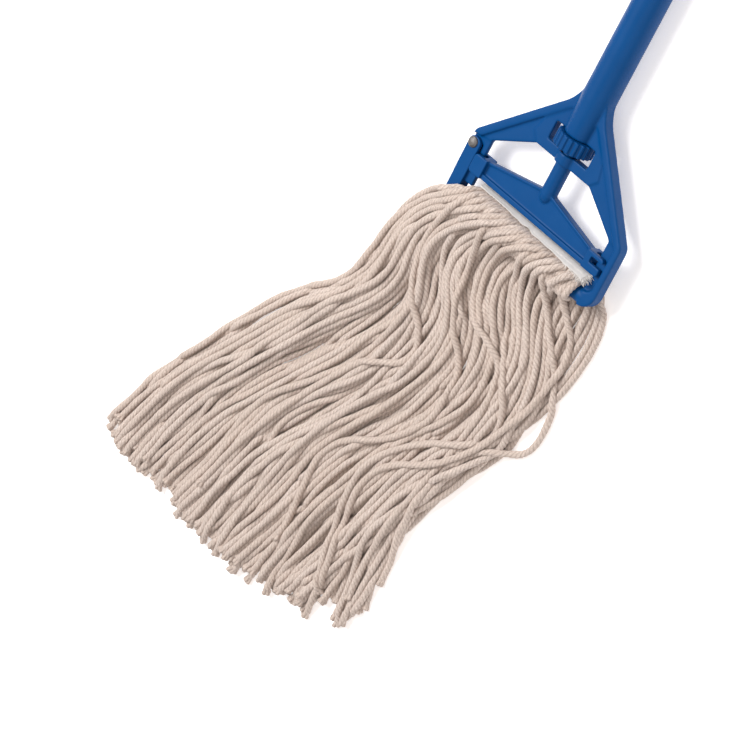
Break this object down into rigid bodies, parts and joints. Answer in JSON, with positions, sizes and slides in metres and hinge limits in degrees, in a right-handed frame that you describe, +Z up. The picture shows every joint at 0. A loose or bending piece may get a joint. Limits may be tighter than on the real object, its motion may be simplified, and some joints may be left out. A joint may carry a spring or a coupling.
{
  "type": "string mop",
  "caption": "Wet mop with a side-gate quick-change plastic head, a screw-down clamp bar, a round handle and cut-end cotton yarn folded over a crossbar.",
  "frame": {"origin": "on the floor, straight under the middle of the crossbar that the yarn is folded over", "axes": "+Z up from the floor, +Y along the handle from the head to the cap, +X across the head, away from the gate"},
  "size_m": [0.4387, 2.1716, 0.045],
  "materials": {
    "blue_plastic": "satin",
    "steel": "satin",
    "aluminium": "satin",
    "nylon": "matte",
    "cotton": "matte",
    "tape": "matte",
    "sewing_thread": "matte"
  },
  "bodies": {
    "frame": {"yoke": "blue_plastic", "gate_rivet": "steel", "rivet_washer": "steel", "handle_tube": "aluminium", "tube_plug": "nylon", "socket_screw": "steel", "handle_cap": "blue_plastic", "headband_outer": "tape", "headband_inner": "tape", "sewing_thread_1": "sewing_thread", "sewing_thread_2": "sewing_thread", "sewing_thread_3": "sewing_thread", "yarn_fold": "cotton", "yarn_back": "cotton", "yarn_front": "cotton"},
    "gate": {"side_gate": "blue_plastic"},
    "clamp": {"clamp_bar": "blue_plastic"},
    "wheel": {"thumbwheel": "blue_plastic"}
  },
  "joints": [
    {"name": "gate_hinge", "type": "hinge", "parent": "frame", "child": "gate", "pos_m": [-0.0945, 0.0485, 0.0247], "axis": [0, -0.0061, -1], "range_deg": [0, 95]},
    {"name": "thumbwheel_spin", "type": "hinge", "parent": "frame", "child": "wheel", "pos_m": [0, 0.11, 0.02432], "axis": [0, -1, 0.0061], "range_deg": [0, 1350]},
    {"name": "clamp_slide", "type": "slide", "parent": "frame", "child": "clamp", "axis": [0, 1, -0.0061], "range_m": [0, 0.015]}
  ],
  "couplings": [
    {"joint": "clamp_slide", "follows": "thumbwheel_spin", "m_per_rad": 0.00063662}
  ]
}
